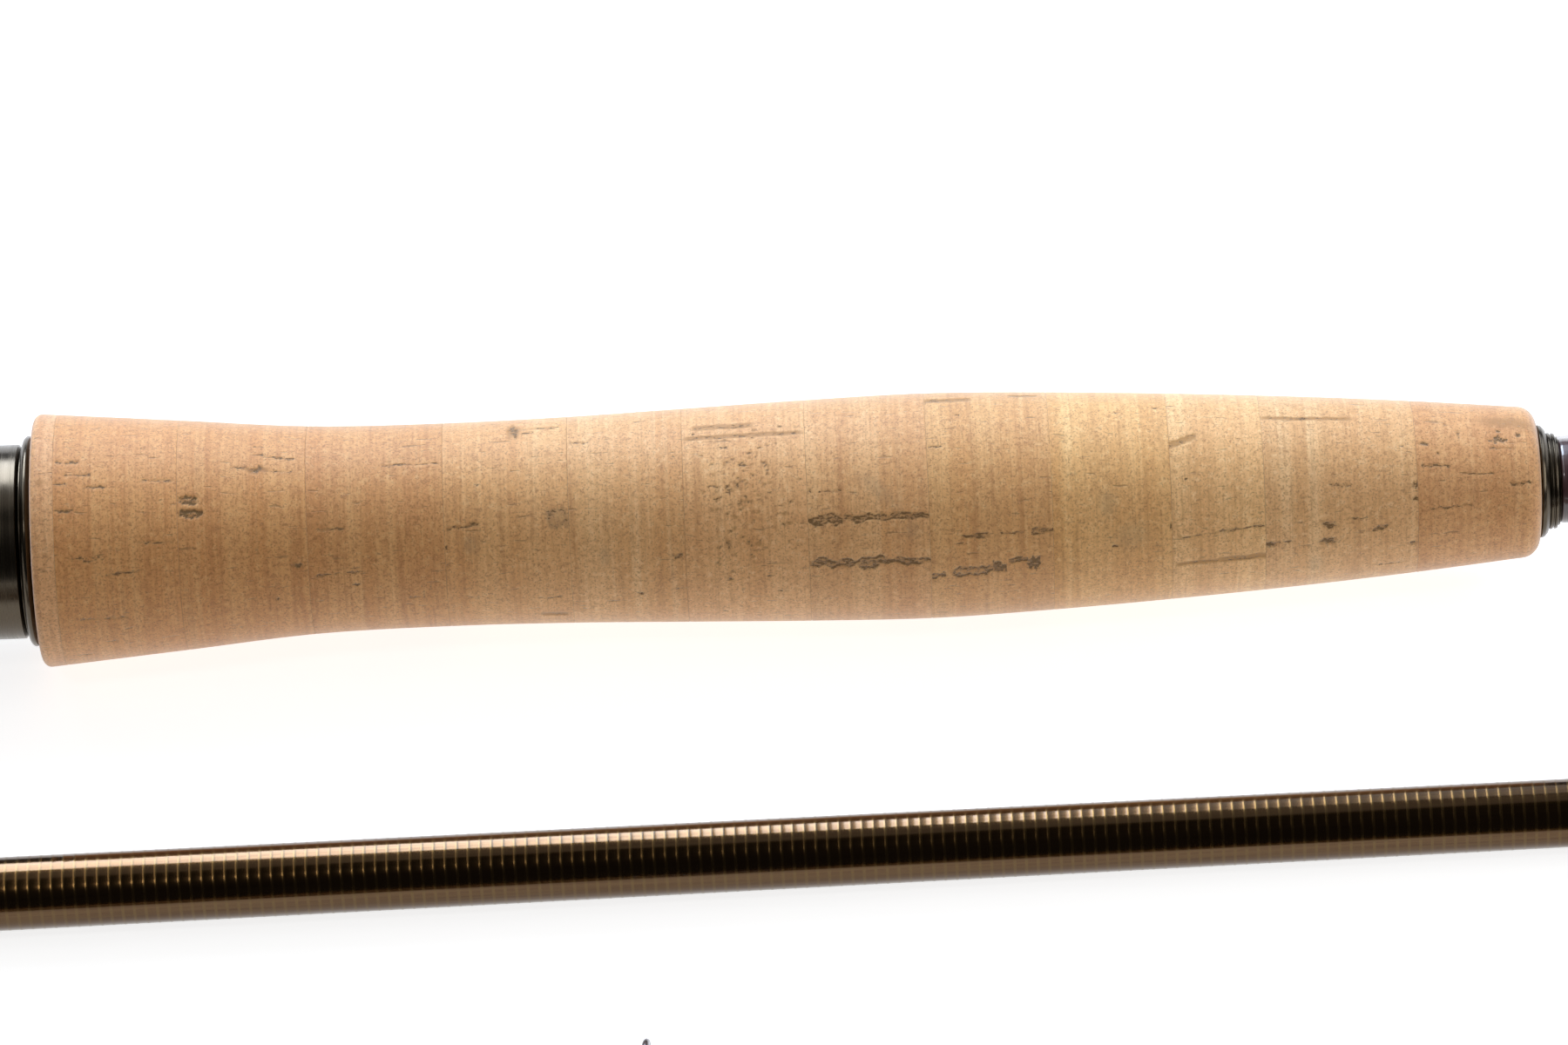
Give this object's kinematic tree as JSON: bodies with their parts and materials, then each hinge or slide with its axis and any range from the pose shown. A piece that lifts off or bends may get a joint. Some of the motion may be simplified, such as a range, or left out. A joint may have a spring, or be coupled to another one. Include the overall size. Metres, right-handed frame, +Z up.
{
  "type": "fly fishing rod",
  "caption": "Fly rod taken apart into its sections: cork grip on a screw-locking reel seat, tapered tube blanks, ring guides and thread wraps.",
  "frame": {"origin": "middle of the footprint, on the surface that the sections lie on", "axes": "+X along the sections towards their thin ends, +Z up, +Y the side that the line guides point to"},
  "size_m": [0.7316, 0.1288, 0.0259],
  "materials": {
    "cork": "sanded natural cork",
    "seat_metal": "satin gunmetal anodised",
    "insert_wood": "dark oiled burl",
    "blank": "clear-coated bronze brown over carbon fibre",
    "thread_wrap": "dark brown thread under epoxy",
    "guide_wire": "dark chrome wire",
    "guide_ring": "polished dark ceramic"
  },
  "bodies": {
    "butt_section": {"butt_cap": "seat_metal", "seat_barrel": "seat_metal", "seat_insert": "insert_wood", "fixed_hood": "seat_metal", "grip_ring": "seat_metal", "cork_ring_01": "cork", "cork_ring_02": "cork", "cork_ring_03": "cork", "cork_ring_04": "cork", "cork_ring_05": "cork", "cork_ring_06": "cork", "cork_ring_07": "cork", "cork_ring_08": "cork", "cork_ring_09": "cork", "cork_ring_10": "cork", "cork_ring_11": "cork", "cork_ring_12": "cork", "cork_ring_13": "cork", "winding_check": "seat_metal", "butt_blank": "blank", "hook_keeper": "guide_wire", "hook_keeper_wrap_rear": "thread_wrap", "hook_keeper_wrap_front": "thread_wrap", "stripping_guide_wrap_rear": "thread_wrap", "stripping_guide_wrap_front": "thread_wrap", "stripping_guide": "guide_wire", "stripping_guide_insert": "guide_ring"},
    "sliding_hood": {"sliding_hood": "seat_metal"},
    "front_lock_nut": {"front_lock_nut": "seat_metal"},
    "rear_lock_nut": {"rear_lock_nut": "seat_metal"},
    "section_2": {"section_2_blank": "blank", "section_2_ferrule_wrap": "thread_wrap", "section_2_guide_1": "guide_wire", "section_2_guide_wrap_1": "thread_wrap", "section_2_guide_2": "guide_wire", "section_2_guide_wrap_2": "thread_wrap"},
    "section_3": {"section_3_blank": "blank", "section_3_ferrule_wrap": "thread_wrap", "section_3_guide_1": "guide_wire", "section_3_guide_wrap_1": "thread_wrap", "section_3_guide_2": "guide_wire", "section_3_guide_wrap_2": "thread_wrap", "section_3_guide_3": "guide_wire", "section_3_guide_wrap_3": "thread_wrap"},
    "tip_section": {"tip_blank": "blank", "tip_ferrule_wrap": "thread_wrap", "tip_guide_1": "guide_wire", "tip_guide_wrap_1": "thread_wrap", "tip_guide_2": "guide_wire", "tip_guide_wrap_2": "thread_wrap", "tip_guide_3": "guide_wire", "tip_guide_wrap_3": "thread_wrap", "tip_guide_4": "guide_wire", "tip_guide_wrap_4": "thread_wrap", "tip_guide_5": "guide_wire", "tip_guide_wrap_5": "thread_wrap", "tip_top": "guide_wire", "tip_top_wrap": "thread_wrap"}
  },
  "joints": [
    {"name": "hood_slide", "type": "slide", "parent": "butt_section", "child": "sliding_hood", "axis": [0.9999, 0, -0.0157], "range_m": [0, 0.024]},
    {"name": "front_nut_turn", "type": "hinge", "parent": "sliding_hood", "child": "front_lock_nut", "pos_m": [-0.34638, 0.04642, 0.01438], "axis": [0.9999, 0, -0.0157], "range_deg": [0, 5761]},
    {"name": "rear_nut_turn", "type": "hinge", "parent": "sliding_hood", "child": "rear_lock_nut", "pos_m": [-0.35313, 0.04642, 0.01449], "axis": [0.9999, 0, -0.0157], "range_deg": [0, 5761]},
    {"name": "section_2_lift", "type": "slide", "parent": "butt_section", "child": "section_2", "axis": [0, 0, 1], "range_m": [0, 0.15]},
    {"name": "section_3_lift", "type": "slide", "parent": "butt_section", "child": "section_3", "axis": [0, 0, 1], "range_m": [0, 0.15]},
    {"name": "tip_section_lift", "type": "slide", "parent": "butt_section", "child": "tip_section", "axis": [0, 0, 1], "range_m": [0, 0.15]}
  ],
  "couplings": [
    {"joint": "front_nut_turn", "follows": "hood_slide", "rad_per_m": 4188.8},
    {"joint": "rear_nut_turn", "follows": "hood_slide", "rad_per_m": 4188.8}
  ]
}
